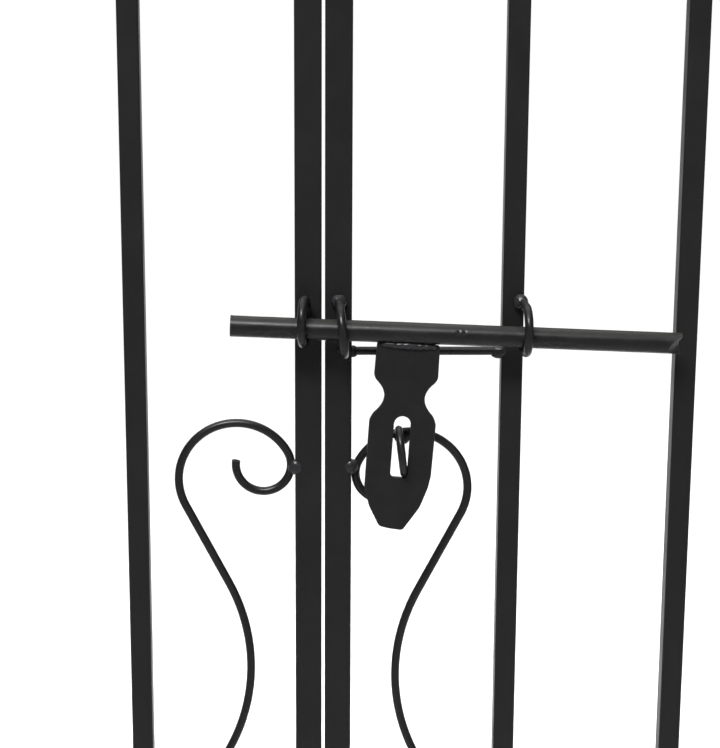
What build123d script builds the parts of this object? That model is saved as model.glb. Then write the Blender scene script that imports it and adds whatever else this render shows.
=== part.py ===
from build123d import *
import math
import os

# Garden arch with a double gate and a padlock bolt: black powder-coated steel tube and wire.
# Millimetres. +Z is up, the walkway runs along Y and the front of the gate faces -Y.
# The origin is on the ground at the centre of the footprint.

# ---- driving dimensions: arch ----
post_size = 20.0          # square tube of posts and hoops
post_wall = 1.2
arch_depth = 450.0        # over the front and rear posts
arch_height = 2350.0      # ground to the top of the hoops
rung_size = 12.0          # square tube of the cross rungs
rung_wall = 1.0
rung_first = 100.0        # height of the lowest side rung
rung_last_drop = 29.1     # highest side rung below the top of the posts
rung_count = 8
roof_rung_count = 8
rod_d = 6.0               # round trellis rods on the outside of the rungs
rod_spread = 140.0        # between the two rods of a side
rod_overhang = 15.0       # rod past the end rungs

# ---- driving dimensions: gate ----
bar_pitch = 97.0          # centre to centre of the upright gate bars
bars_per_leaf = 4
stile_size = 15.0
stile_wall = 1.2
bar_size = 12.0
bar_wall = 1.0
leaf_gap = 1.8            # between the two meeting stiles
hinge_gap = 20.0          # between a hinge stile and its post
gate_bottom = 60.0
gate_top = 1110.0         # crown of the curved top rail, on its centre line
top_rail_r = 900.0        # the curve's radius
stile_rise = 25.0         # stile above the top rail's centre line
cap_t = 2.0
plug_depth = 8.0
plug_clearance = 0.1
tube_corner = 1.4         # outside corner radius of the square tubes
bore_corner = 0.3

# ---- driving dimensions: feet and fasteners ----
foot_x = 60.0
foot_y = 90.0
foot_t = 3.0
foot_hole_d = 9.0
foot_hole_offset = 30.0   # hole to post centre, along Y
foot_corner = 6.0
spigot_reach = 60.0       # spigot into each of the tubes it joins
spigot_clearance = 0.2
spigot_corner = 0.5
bolt_d = 6.0
bolt_hole_clearance = 0.2
bolt_from_joint = 30.0
bolt_head_d = 12.0
bolt_head_t = 3.6
bolt_head_round = 2.16
socket_r = 2.3            # hexagon socket, centre to corner
socket_depth = 2.0
nut_flats = 10.0
nut_t = 5.0
nut_collar = 1.0          # closed part of the nut under its dome
nut_dome_t = 4.0
nut_dome_r = 4.6
nut_dome_round = 3.6
nut_bore_spare = 0.5

# ---- driving dimensions: hinges ----
lower_hinge_z = 190.0
upper_hinge_drop = 107.7  # upper hinge below the top of its stile
pin_d = 10.0
pin_length = 45.0
eye_wall = 3.0
eye_height = 30.0
eye_lug_t = 6.0
pin_clearance = 0.05
eye_lift = 0.5            # eye above the elbow of its pin
pin_chamfer = 1.0

# ---- driving dimensions: scrolls ----
wire_d = 4.8              # scroll and ring wire
curl_r = 15.6
crown_r = 33.0
belly_r = 110.0
scroll_half_height = 145.1
scroll_belly_reach = 25.9   # stile face to the wire's centre at the belly
curl_meets_crown = 150.0    # direction, in degrees, where the curl runs into the crown
curl_open_end = 9.0         # direction, in degrees, of the curl's free end
scroll_y = -3.0             # wire centre, in front of the gate's middle plane
belly_below_bolt = 202.8
right_scroll_drop = 4.9     # the right leaf's scroll sits a little lower
side_scroll_half = 111.6    # half height that the next four sizes are drawn for
side_curl_r = 12.0
side_crown_r = 26.0
side_belly_r = 90.0
side_belly_reach = 18.0
side_scroll_bays = (2, 5)

# ---- driving dimensions: bolt latch ----
latch_height = 700.0      # bolt axis at the middle of the gate
bolt_rod_d = 11.5
bolt_past_stile = 35.0    # bolt beyond the left meeting stile
bolt_past_bar = 90.5      # bolt beyond the middle of the right leaf's first bar
bolt_slope = 2.28         # degrees, down to the right
bolt_off_stile = 15.0     # stile face to bolt axis
rest_gap = 0.3            # bolt above the bottoms of the rings it lies in
keeper_off_middle = 2.1   # keeper ring past the middle of its stile
keeper_outer_r = 14.5
keeper_yaw = -7.0
keeper_weld_rise = 6.0     # weld knob above the ring's middle
stile_guide_off_middle = 1.2
stile_guide_outer_r = 16.0
stile_guide_yaw = 2.0
stile_guide_lean = 5.5
bar_guide_off_middle = 4.9
bar_guide_outer_r = 15.0
bar_guide_yaw = 2.0
ring_weld_r = 3.6
scroll_weld_r = 4.4
scroll_weld_out = 1.44    # weld's middle off the stile
staple_weld_r = 4.0
staple_weld_front = 3.36  # weld's middle in front of the scroll wire's
staple_weld_drop = 0.96
keeper_weld_front = 1.0   # weld's middle in front of the stile
brace_below_bolt = 15.9   # brace wire under the bolt axis, at the stile
hasp_off_staple = 2.8     # hasp's middle line past the staple ring
hasp_t = 3.0
hasp_lean = 1.5           # degrees, from square to the bolt
hasp_gap = 0.1            # hasp edge to bolt
hasp_top_half = 17.4
hasp_flare = 0.3
hasp_shoulder = 24.5
hasp_notch_start = 26.9
hasp_notch_step = 0.9
hasp_notch_half = 11.2
hasp_notch_mid = 36.3
hasp_notch_end = 46.2
hasp_body_half = 18.5
hasp_body_step = 1.8
hasp_body_start = 50.0
hasp_body_end = 86.0
hasp_taper_half = 15.2
hasp_taper_left_extra = 0.8
hasp_taper_end = 99.5
hasp_tip_left = -8.6
hasp_tip_right = 4.6
hasp_length = 112.6
hasp_tip_slant = 1.2
slot_width = 9.2
slot_start = 46.9
slot_end = 82.0
slot_corner = 2.0
weld_bead_r = 3.0
weld_bead_inset = 1.0     # plate left bare past each end of the bead
weld_bead_drop = 0.6      # bead's middle below the bolt
staple_off_stile = 28.4
staple_outer_r = 13.4
staple_wire_d = 4.2
staple_lean = 1.5
staple_yaw = -6.0
staple_behind_bolt = 2.5  # staple ring's centre to the bolt axis, along Y
staple_below_bolt = 66.0

# ---- worked out from the driving dimensions ----
leaf_width = (bars_per_leaf + 1) * bar_pitch + stile_size
leaf_start = leaf_gap / 2
hinge_x = leaf_start + leaf_width + hinge_gap / 2
post_x = leaf_start + leaf_width + hinge_gap + post_size / 2
post_y = arch_depth / 2 - post_size / 2
gate_y = -post_y
hoop_r = post_x
spring_z = arch_height - post_size / 2 - hoop_r
rung_length = 2 * post_y - post_size
rung_pitch = (spring_z - rung_last_drop - rung_first) / (rung_count - 1)
rail_centre_z = gate_top - top_rail_r
hinge_stile_x = leaf_start + leaf_width - stile_size / 2
hinge_stile_top = rail_centre_z + math.sqrt(top_rail_r**2 - hinge_stile_x**2) + stile_rise
hinge_heights = (lower_hinge_z, hinge_stile_top - upper_hinge_drop)
rod_seat_rise = rung_size**2 / (8 * hoop_r)       # flat rung under a curved rod
nut_seat_drop = nut_flats**2 / (6 * hoop_r)       # flat nut in a curved tube's hollow side
wire_r = wire_d / 2
bolt_rod_r = bolt_rod_d / 2
pin_r = pin_d / 2
eye_r = pin_r + pin_clearance + eye_wall
stile_face_y = gate_y - stile_size / 2
bar_face_y = gate_y - bar_size / 2
meeting_x = leaf_start + stile_size / 2
first_bar_x = meeting_x + bar_pitch
bolt_y = -stile_size / 2 - bolt_off_stile
bolt_reach_left = leaf_start + stile_size + bolt_past_stile
bolt_reach_right = first_bar_x + bolt_past_bar
keeper_x = -meeting_x - keeper_off_middle
stile_guide_x = meeting_x + stile_guide_off_middle
bar_guide_x = first_bar_x + bar_guide_off_middle
staple_x = leaf_start + stile_size + staple_off_stile
staple_y = bolt_y + staple_behind_bolt
hasp_x = staple_x + hasp_off_staple
slope = math.radians(bolt_slope)


def bolt_z(x):
    """Height of the bolt's axis above the point x."""
    return latch_height - x * math.tan(slope)


def tube_profile(size, wall):
    """Square tube section with rounded corners, centred."""
    outer = RectangleRounded(size, size, tube_corner)
    bore = size - 2 * wall
    return outer - RectangleRounded(bore, bore, max(tube_corner - wall, bore_corner))


def straight_tube(size, wall, start, end):
    """Square tube between two points on one row axis."""
    along = Vector(*end) - Vector(*start)
    x_dir = (0, 1, 0) if abs(along.X) > 0 else (1, 0, 0)
    return extrude(Plane(start, x_dir=x_dir, z_dir=along) * tube_profile(size, wall), along.length)


def curved_tube(size, wall, radius, centre, start_deg, sweep_deg):
    """Square tube bent round centre in the XZ plane, from start_deg up from +X."""
    section = Plane(centre, x_dir=(1, 0, 0), z_dir=(0, 0, -1)) * Pos(radius, 0) * tube_profile(size, wall)
    bend = revolve(section, Axis(centre, (0, -1, 0)), sweep_deg)
    return bend.rotate(Axis(centre, (0, -1, 0)), start_deg)


def wire_sweep(path, radius):
    """Round wire along a path."""
    return sweep(Plane(path @ 0, z_dir=path % 0) * Circle(radius), path=path)


def group(solids):
    """Separate solids of one node."""
    return Compound(children=[part.solid() for part in solids])


def write(name, solids):
    export_step(group(solids), f"parts/{name}.step")


# ---- arch: feet, posts and hoops ----
def foot_plate(x, y):
    """Flat plate under a post, with an anchor hole each side of it."""
    outline = RectangleRounded(foot_x, foot_y, foot_corner)
    for side in (-1, 1):
        outline -= Pos(0, side * foot_hole_offset) * Circle(foot_hole_d / 2)
    return Pos(x, y, 0) * extrude(outline, foot_t)


def radial_frame(side, y, angle_deg):
    """Place on the hoop's centre line; its Z points outwards from the arch."""
    angle = math.radians(angle_deg)
    outward = (side * math.cos(angle), 0, math.sin(angle))
    origin = (outward[0] * hoop_r, y, spring_z + outward[2] * hoop_r)
    return Plane(origin, x_dir=(0, 1, 0), z_dir=outward)


def bolt_planes(side, y):
    """Where the bolts of one spring joint and one crown half go."""
    reach_deg = math.degrees(bolt_from_joint / hoop_r)
    post_bolt = Plane((side * post_x, y, spring_z - bolt_from_joint), x_dir=(0, 1, 0), z_dir=(side, 0, 0))
    return post_bolt, radial_frame(side, y, reach_deg), radial_frame(side, y, 90 - reach_deg)


def bolt_holes(side, y):
    hole = Cylinder(bolt_d / 2 + bolt_hole_clearance, 2 * post_size)
    return [plane * hole for plane in bolt_planes(side, y)]


def post(side, y):
    tube = straight_tube(post_size, post_wall, (side * post_x, y, foot_t), (side * post_x, y, spring_z))
    return tube - bolt_holes(side, y)[0]


def hoop_half(side, y):
    """Quarter circle from the top of a post to the crown."""
    start_deg = 0 if side > 0 else 90
    tube = curved_tube(post_size, post_wall, hoop_r, (0, y, spring_z), start_deg, 90)
    for hole in bolt_holes(side, y)[1:]:
        tube -= hole
    return tube


def spigot_section():
    bore = post_size - 2 * post_wall - 2 * spigot_clearance
    return RectangleRounded(bore, bore, spigot_corner)


def curved_spigot(y, start_deg, sweep_deg):
    centre = (0, y, spring_z)
    section = Plane(centre, x_dir=(1, 0, 0), z_dir=(0, 0, -1)) * Pos(hoop_r, 0) * spigot_section()
    bend = revolve(section, Axis(centre, (0, -1, 0)), sweep_deg)
    return bend.rotate(Axis(centre, (0, -1, 0)), start_deg)


def spring_spigot(side, y):
    """Inner spigot that joins a post to its hoop."""
    reach_deg = math.degrees(spigot_reach / hoop_r)
    start_deg = 0 if side > 0 else 180 - reach_deg
    lower_plane = Plane((side * post_x, y, spring_z), x_dir=(1, 0, 0), z_dir=(0, 0, -1))
    spigot = extrude(lower_plane * spigot_section(), spigot_reach) + curved_spigot(y, start_deg, reach_deg)
    for hole in bolt_holes(side, y)[:2]:
        spigot -= hole
    return spigot


def crown_spigot(y):
    """Inner spigot that joins the two halves of a hoop."""
    reach_deg = math.degrees(spigot_reach / hoop_r)
    spigot = curved_spigot(y, 90 - reach_deg, 2 * reach_deg)
    for side in (-1, 1):
        spigot -= bolt_holes(side, y)[2]
    return spigot


def joint_bolt():
    """Pan-head machine screw; the tube's outer face is at Z = 0 and the head stands on it."""
    shank_length = post_size + nut_t
    shank = Pos(0, 0, -shank_length / 2) * Cylinder(bolt_d / 2, shank_length)
    head = Pos(0, 0, bolt_head_t / 2) * Cylinder(bolt_head_d / 2, bolt_head_t)
    head = fillet(head.edges().group_by(Axis.Z)[-1], bolt_head_round)
    socket = Pos(0, 0, bolt_head_t) * extrude(RegularPolygon(socket_r, 6), -socket_depth)
    return shank + head - socket


def joint_nut():
    """Domed nut; it stands on the tube's inner face, at Z = 0, and points along -Z."""
    body_t = nut_t + nut_collar
    body = extrude(RegularPolygon(nut_flats / 2, 6, major_radius=False), -body_t)
    dome = Pos(0, 0, -body_t - nut_dome_t / 2) * Cylinder(nut_dome_r, nut_dome_t)
    dome = fillet(dome.edges().group_by(Axis.Z)[0], nut_dome_round)
    bore_t = nut_t + nut_bore_spare
    bore = Pos(0, 0, -bore_t / 2) * Cylinder(bolt_d / 2 + pin_clearance, bore_t)
    return body + dome - bore


sides = {"left": -1, "right": 1}
ends = {"front": -post_y, "rear": post_y}

foot_plates = []
joint_spigots = []
joint_bolts = []
joint_nuts = []
arch_nodes = {}
for end_name, end_y in ends.items():
    for side_name, side in sides.items():
        arch_nodes[f"post_{end_name}_{side_name}"] = [post(side, end_y)]
        arch_nodes[f"hoop_{end_name}_{side_name}"] = [hoop_half(side, end_y)]
        foot_plates.append(foot_plate(side * post_x, end_y))
        joint_spigots.append(spring_spigot(side, end_y))
        for plane in bolt_planes(side, end_y):
            joint_bolts.append(plane * Pos(0, 0, post_size / 2) * joint_bolt())
            joint_nuts.append(plane * Pos(0, 0, -post_size / 2 - nut_seat_drop) * joint_nut())
    joint_spigots.append(crown_spigot(end_y))
arch_nodes["foot_plates"] = foot_plates
arch_nodes["joint_spigots"] = joint_spigots
arch_nodes["joint_bolts"] = joint_bolts
arch_nodes["joint_nuts"] = joint_nuts

# ---- arch: trellis of the sides and the roof ----
rung_heights = [rung_first + rung_pitch * i for i in range(rung_count)]
roof_step = 180 / roof_rung_count
roof_angles = [roof_step * (i + 0.5) for i in range(roof_rung_count // 2)]


def side_rungs(side):
    """Level tubes between the front and rear posts."""
    x = side * post_x
    half = rung_length / 2
    return [straight_tube(rung_size, rung_wall, (x, -half, z), (x, half, z)) for z in rung_heights]


def side_rods(side):
    """Two upright rods welded to the outside of the rungs."""
    x = side * (post_x + rung_size / 2 + rod_d / 2)
    bottom = rung_heights[0] - rod_overhang
    length = rung_heights[-1] + rod_overhang - bottom
    rod = Pos(x, 0, bottom + length / 2) * Cylinder(rod_d / 2, length)
    return [Pos(0, y, 0) * rod for y in (-rod_spread / 2, rod_spread / 2)]


def roof_rungs(side):
    """Tubes between the two hoops, square to them."""
    rungs = []
    for angle in roof_angles:
        plane = radial_frame(side, -rung_length / 2, angle)
        across = Plane(plane.origin, x_dir=plane.z_dir, z_dir=(0, 1, 0))
        rungs.append(extrude(across * tube_profile(rung_size, rung_wall), rung_length))
    return rungs


def roof_rods(side):
    """Two bent rods on the outside of the roof rungs."""
    radius = hoop_r + rung_size / 2 + rod_d / 2 + rod_seat_rise
    overhang_deg = math.degrees(rod_overhang / radius)
    first = roof_angles[0] - overhang_deg
    sweep_deg = roof_angles[-1] + overhang_deg - first
    start_deg = first if side > 0 else 180 - first - sweep_deg
    rods = []
    for y in (-rod_spread / 2, rod_spread / 2):
        centre = (0, y, spring_z)
        section = Plane(centre, x_dir=(1, 0, 0), z_dir=(0, 0, -1)) * Pos(radius, 0) * Circle(rod_d / 2)
        bend = revolve(section, Axis(centre, (0, -1, 0)), sweep_deg)
        rods.append(bend.rotate(Axis(centre, (0, -1, 0)), start_deg))
    return rods


# ---- scrolls ----
def scroll_path(curl, crown, belly, half_height, belly_reach):
    """Lyre scroll in a plane: X away from the tube it is welded to, Y up, origin at the belly's height."""
    offset = crown - curl
    meet = math.radians(curl_meets_crown)
    curl_x = wire_r + curl
    crown_x = curl_x - offset * math.cos(meet)
    crown_y = half_height - crown
    curl_y = crown_y + offset * math.sin(meet)
    belly_x = belly_reach + belly
    gap_x = belly_x - crown_x
    gap_angle = math.atan2(-crown_y, gap_x)
    leave = math.degrees(gap_angle + math.acos((crown + belly) / math.hypot(gap_x, crown_y)))
    curl_sweep = curl_open_end - curl_meets_crown + 360
    crown_sweep = curl_meets_crown - leave
    upper = [
        CenterArc((curl_x, curl_y), curl, curl_open_end, -curl_sweep),
        CenterArc((crown_x, crown_y), crown, curl_meets_crown, -crown_sweep),
    ]
    belly_arc = CenterArc((belly_x, 0), belly, 180 + leave, -2 * leave)
    upper.append(Line(upper[1] @ 1, belly_arc @ 0))
    lower = [edge.mirror(Plane.XZ) for edge in upper]
    return Wire(upper + [belly_arc] + lower)


def scroll(plane, path):
    return wire_sweep(plane.from_local_coords(path), wire_r)


def side_scrolls(side):
    """Two mirrored scrolls in each chosen bay, back to back with the posts."""
    bay_height = rung_pitch - rung_size
    half_height = bay_height / 2 - wire_r
    share = half_height / side_scroll_half
    sizes = (side_curl_r * share, side_crown_r * share, side_belly_r * share)
    path = scroll_path(*sizes, half_height, side_belly_reach * share)
    scrolls = []
    for bay in side_scroll_bays:
        z = rung_heights[bay] + rung_pitch / 2
        for direction in (-1, 1):
            origin = (side * post_x, direction * rung_length / 2, z)
            plane = Plane(origin, x_dir=(0, -direction, 0), z_dir=(-direction, 0, 0))
            scrolls.append(scroll(plane, path))
    return scrolls


# ---- hinges ----
def hinge_pins(side):
    """Elbow pins on a front post: a short arm, then the upright pin that the leaf's eye drops over."""
    pins = []
    for z in hinge_heights:
        arm_length = hinge_gap / 2
        arm = Pos(side * (hinge_x + arm_length / 2), gate_y, z) * Rot(0, 90, 0) * Cylinder(pin_r, arm_length)
        elbow = Pos(side * hinge_x, gate_y, z) * Sphere(pin_r)
        pin = Pos(side * hinge_x, gate_y, z + pin_length / 2) * Cylinder(pin_r, pin_length)
        pins.append(arm + elbow + chamfer(pin.edges().group_by(Axis.Z)[-1], pin_chamfer))
    return pins


def hinge_eyes(side):
    """Eyes on the hinge stile that turn on the pins."""
    eyes = []
    for z in hinge_heights:
        base = z + pin_r + eye_lift
        eye = Pos(side * hinge_x, gate_y, base + eye_height / 2) * Cylinder(eye_r, eye_height)
        lug_centre = side * (hinge_x - hinge_gap / 4)
        eye += Pos(lug_centre, gate_y, base + eye_height / 2) * Box(hinge_gap / 2, eye_lug_t, eye_height)
        bore = Cylinder(pin_r + pin_clearance, 2 * eye_height)
        eyes.append(eye - Pos(side * hinge_x, gate_y, base) * bore)
    return eyes


for side_name, side in sides.items():
    arch_nodes[f"side_rungs_{side_name}"] = side_rungs(side)
    arch_nodes[f"side_rods_{side_name}"] = side_rods(side)
    arch_nodes[f"side_scrolls_{side_name}"] = side_scrolls(side)
    arch_nodes[f"roof_rungs_{side_name}"] = roof_rungs(side)
    arch_nodes[f"roof_rods_{side_name}"] = roof_rods(side)
    arch_nodes[f"hinge_pins_{side_name}"] = hinge_pins(side)

# ---- gate leaves ----
bar_xs = [first_bar_x + bar_pitch * i for i in range(bars_per_leaf)]


def rail_z(x):
    """Height of the top rail's centre line above the point x."""
    return rail_centre_z + math.sqrt(top_rail_r**2 - x**2)


def stile(side, x):
    top = rail_z(x) + stile_rise
    return straight_tube(stile_size, stile_wall, (side * x, gate_y, gate_bottom), (side * x, gate_y, top))


def stile_caps(side):
    """Push-in caps for both ends of both stiles."""
    plug_size = stile_size - 2 * stile_wall - 2 * plug_clearance
    cap = extrude(RectangleRounded(stile_size, stile_size, tube_corner), cap_t)
    cap += extrude(Rectangle(plug_size, plug_size), -plug_depth)
    caps = []
    for x in (meeting_x, hinge_stile_x):
        caps.append(Pos(side * x, gate_y, rail_z(x) + stile_rise) * cap)
        caps.append(Pos(side * x, gate_y, gate_bottom) * Rot(180, 0, 0) * cap)
    return caps


def top_rail(side):
    """Curved tube between the stiles, cut flush to them."""
    ring = curved_tube(stile_size, stile_wall, top_rail_r, (0, gate_y, rail_centre_z), 50, 80)
    inner = meeting_x + stile_size / 2
    outer = hinge_stile_x - stile_size / 2
    window = Box(outer - inner, 2 * stile_size, 2 * top_rail_r)
    return ring & (Pos(side * (inner + outer) / 2, gate_y, rail_centre_z + top_rail_r) * window)


def bottom_rail(side):
    z = gate_bottom + stile_size / 2
    inner = side * (meeting_x + stile_size / 2)
    outer = side * (hinge_stile_x - stile_size / 2)
    return straight_tube(stile_size, stile_wall, (inner, gate_y, z), (outer, gate_y, z))


def infill_bars(side):
    """Upright bars from the bottom rail to the underside of the top rail."""
    under_rail = Rot(90, 0, 0) * Cylinder(top_rail_r - stile_size / 2, 2 * stile_size)
    under_rail = Pos(0, gate_y, rail_centre_z) * under_rail
    bottom = gate_bottom + stile_size
    bars = []
    for x in bar_xs:
        bar = straight_tube(bar_size, bar_wall, (side * x, gate_y, bottom), (side * x, gate_y, gate_top))
        bars.append(bar & under_rail)
    return bars


def gate_scroll(side):
    drop = right_scroll_drop if side > 0 else 0
    origin = (side * (meeting_x + stile_size / 2), gate_y + scroll_y, latch_height - belly_below_bolt - drop)
    plane = Plane(origin, x_dir=(side, 0, 0), z_dir=(0, -side, 0))
    path = scroll_path(curl_r, crown_r, belly_r, scroll_half_height, scroll_belly_reach)
    return scroll(plane, path)


leaf_nodes = {}
for side_name, side in sides.items():
    leaf_nodes[f"meeting_stile_{side_name}"] = [stile(side, meeting_x)]
    leaf_nodes[f"hinge_stile_{side_name}"] = [stile(side, hinge_stile_x)]
    leaf_nodes[f"stile_caps_{side_name}"] = stile_caps(side)
    leaf_nodes[f"top_rail_{side_name}"] = [top_rail(side)]
    leaf_nodes[f"bottom_rail_{side_name}"] = [bottom_rail(side)]
    leaf_nodes[f"infill_bars_{side_name}"] = infill_bars(side)
    leaf_nodes[f"gate_scroll_{side_name}"] = [gate_scroll(side)]
    leaf_nodes[f"hinge_eyes_{side_name}"] = hinge_eyes(side)

# ---- latch: keeper, guides, brace and staple ----
def ring(outer_r, wire_radius, centre, yaw, lean):
    """Closed wire ring that stands square to the bolt."""
    torus = Rot(0, 90, 0) * Torus(outer_r - wire_radius, wire_radius)
    return Pos(*centre) * Rot(0, lean, yaw) * torus


def resting_height(x, ring_y, inner_r):
    """Centre height of a ring whose bottom carries the bolt."""
    free = inner_r - bolt_rod_r - rest_gap
    return bolt_z(x) + math.sqrt(free**2 - (ring_y - gate_y - bolt_y) ** 2)


def keeper_ring():
    y = stile_face_y - keeper_outer_r
    z = resting_height(keeper_x, y, keeper_outer_r - wire_d)
    return ring(keeper_outer_r, wire_r, (keeper_x, y, z), keeper_yaw, 0), (keeper_x, z)


def guide_staple(x, face_y, z, outer_r, yaw, lean):
    """U of wire whose two legs are welded to a face."""
    arc_r = outer_r - wire_r
    leg = -(gate_y + bolt_y) + face_y
    path = Wire([
        Line((0, 0, arc_r), (0, -leg, arc_r)),
        ThreePointArc((0, -leg, arc_r), (0, -leg - arc_r, 0), (0, -leg, -arc_r)),
        Line((0, -leg, -arc_r), (0, 0, -arc_r)),
    ])
    staple = wire_sweep(path, wire_r)
    placed = Pos(x, face_y, z) * Rot(0, -lean, yaw) * staple
    behind = Box(4 * outer_r, 2 * outer_r, 4 * outer_r)
    return placed - Pos(x, face_y + outer_r, z) * behind


keeper, keeper_at = keeper_ring()
stile_guide_z = bolt_z(stile_guide_x)
stile_guide = guide_staple(
    stile_guide_x, stile_face_y, stile_guide_z, stile_guide_outer_r, stile_guide_yaw, stile_guide_lean)
bar_guide_z = bolt_z(bar_guide_x) + bar_guide_outer_r - wire_d - bolt_rod_r - rest_gap
bar_guide = guide_staple(bar_guide_x, bar_face_y, bar_guide_z, bar_guide_outer_r, bar_guide_yaw, 0)


def brace_wire():
    """Level wire behind the bolt that ties the meeting stile to the next bar."""
    start = meeting_x + stile_size / 2
    length = first_bar_x - bar_size / 2 - start
    z = latch_height - brace_below_bolt
    return Pos(start + length / 2, gate_y - stile_size / 4, z) * Rot(0, 90, 0) * Cylinder(wire_r, length)


def staple_ring():
    """Ring on the scroll's crown that stands through the hasp's slot for a padlock."""
    centre = (staple_x, gate_y + staple_y, latch_height - staple_below_bolt)
    return ring(staple_outer_r, staple_wire_d / 2, centre, staple_yaw, -staple_lean)


def weld_knob(centre, radius, *pieces):
    """Lump of weld, shaped to the pieces that it joins."""
    knob = Pos(*centre) * Sphere(radius)
    for piece in pieces:
        knob -= piece
    return knob.solids().sort_by(SortBy.VOLUME)[-1]


def stile_body(side):
    """Outer form of a meeting stile, which welds stay out of."""
    return Pos(side * meeting_x, gate_y, latch_height) * Box(stile_size, stile_size, latch_height)


def guide_welds(guide, x, z, outer_r, lean, tube_x, tube_size):
    """A bead round the end of each leg of a guide."""
    tube = Pos(tube_x, gate_y, z) * Box(tube_size, tube_size, 4 * outer_r)
    face_y = gate_y - tube_size / 2
    leg = outer_r - wire_r
    aside = leg * math.tan(math.radians(lean))
    places = [(x - end * aside, face_y, z + end * leg) for end in (-1, 1)]
    return [weld_knob(place, ring_weld_r, tube, guide) for place in places]


def scroll_welds(side):
    """Beads where the two curls of a scroll meet the stile."""
    drop = right_scroll_drop if side > 0 else 0
    curl_rise = (crown_r - curl_r) * math.sin(math.radians(curl_meets_crown))
    curl_height = scroll_half_height - crown_r + curl_rise
    belly_z = latch_height - belly_below_bolt - drop
    x = side * (meeting_x + stile_size / 2 + scroll_weld_out)
    wire = leaf_nodes[f"gate_scroll_{'right' if side > 0 else 'left'}"][0]
    ends = (belly_z - curl_height, belly_z + curl_height)
    return [weld_knob((x, gate_y + scroll_y, z), scroll_weld_r, stile_body(side), wire) for z in ends]


def staple_weld(ring_solid):
    """Lump between the staple ring and the crown of the scroll behind it."""
    crown_z = latch_height - belly_below_bolt - right_scroll_drop + scroll_half_height
    centre = (staple_x, gate_y + scroll_y - staple_weld_front, crown_z - staple_weld_drop)
    return weld_knob(centre, staple_weld_r, leaf_nodes["gate_scroll_right"][0], ring_solid)


leaf_nodes["keeper_ring"] = [keeper]
leaf_nodes["guide_stile"] = [stile_guide]
leaf_nodes["guide_bar"] = [bar_guide]
leaf_nodes["brace_wire"] = [brace_wire()]
leaf_nodes["staple_ring"] = [staple_ring()]

keeper_weld_at = (keeper_x, stile_face_y - keeper_weld_front, keeper_at[1] + keeper_weld_rise)
leaf_nodes["keeper_weld"] = [weld_knob(keeper_weld_at, ring_weld_r, stile_body(-1), keeper)]
stile_guide_welds = guide_welds(
    stile_guide, stile_guide_x, stile_guide_z, stile_guide_outer_r, stile_guide_lean, meeting_x, stile_size)
bar_guide_welds = guide_welds(
    bar_guide, bar_guide_x, bar_guide_z, bar_guide_outer_r, 0, first_bar_x, bar_size)
leaf_nodes["guide_welds"] = stile_guide_welds + bar_guide_welds
leaf_nodes["staple_weld"] = [staple_weld(leaf_nodes["staple_ring"][0])]
leaf_nodes["scroll_welds_left"] = scroll_welds(-1)
leaf_nodes["scroll_welds_right"] = scroll_welds(1)

# ---- latch: bolt and hasp ----
bolt_middle = (bolt_reach_right - bolt_reach_left) / 2
bolt_length = (bolt_reach_right + bolt_reach_left) / math.cos(slope)
bolt_frame = Plane((bolt_middle, gate_y + bolt_y, bolt_z(bolt_middle)),
                   x_dir=(0, 1, 0), z_dir=(math.cos(slope), 0, -math.sin(slope)))
bolt_rod = bolt_frame * Cylinder(bolt_rod_r, bolt_length)


def hasp_outline():
    """Plate hanging from the bolt: X along the bolt, Y down from its axis."""
    notch_in = (hasp_top_half - hasp_notch_step, hasp_notch_start)
    notch_out = (hasp_body_half - hasp_body_step, hasp_notch_end)
    right_top = [(hasp_top_half, 0), (hasp_top_half + hasp_flare, hasp_shoulder), notch_in]
    right = [Polyline(right_top), ThreePointArc(notch_in, (hasp_notch_half, hasp_notch_mid), notch_out)]
    left = [edge.mirror(Plane.YZ) for edge in right]
    lower = Polyline([
        notch_out,
        (hasp_body_half, hasp_body_start),
        (hasp_body_half, hasp_body_end),
        (hasp_taper_half, hasp_taper_end),
        (hasp_tip_right, hasp_length),
        (hasp_tip_left, hasp_length - hasp_tip_slant),
        (-hasp_taper_half - hasp_taper_left_extra, hasp_taper_end),
        (-hasp_body_half, hasp_body_end),
        (-hasp_body_half, hasp_body_start),
        (-notch_out[0], notch_out[1]),
    ])
    top = Line((-hasp_top_half, 0), (hasp_top_half, 0))
    curves = right + [lower] + left + [top]
    return make_face([edge for curve in curves for edge in curve.edges()])


def hasp_slot():
    straight_top = slot_start + slot_width / 2
    body = Pos(0, (straight_top + slot_end) / 2) * Rectangle(slot_width, slot_end - straight_top)
    body = fillet(body.vertices().group_by(Axis.Y)[-1], slot_corner)
    return body + Pos(0, straight_top) * Circle(slot_width / 2)


hasp_origin = (hasp_x, gate_y + bolt_y, bolt_z(hasp_x))
hasp_tilt = slope + math.radians(hasp_lean)
hasp_frame = Plane(hasp_origin, x_dir=(math.cos(hasp_tilt), 0, -math.sin(hasp_tilt)), z_dir=(0, 1, 0))
bolt_clear = bolt_frame * Cylinder(bolt_rod_r + hasp_gap, 2 * bolt_length)
hasp_plate = hasp_frame * extrude(hasp_outline() - hasp_slot(), hasp_t / 2, both=True)
hasp_plate -= bolt_clear
hasp_plate = hasp_plate.solids().sort_by(SortBy.VOLUME)[-1]

bead_length = 2 * (hasp_top_half - weld_bead_inset)
bead = Rot(0, 90, 0) * Cylinder(weld_bead_r, bead_length)
bead_drop = bolt_rod_r + weld_bead_drop
bead_pair = []
for y_side in (-1, 1):
    placed = hasp_frame * Pos(0, bead_drop, y_side * hasp_t / 2) * bead
    placed = placed - bolt_clear - hasp_plate
    outside = hasp_frame * Pos(0, 0, y_side * (hasp_t / 2 + 2 * weld_bead_r)) * Box(
        2 * bead_length, 8 * weld_bead_r, 4 * weld_bead_r)
    bead_pair.append((placed & outside).solids().sort_by(SortBy.VOLUME)[-1])

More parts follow.
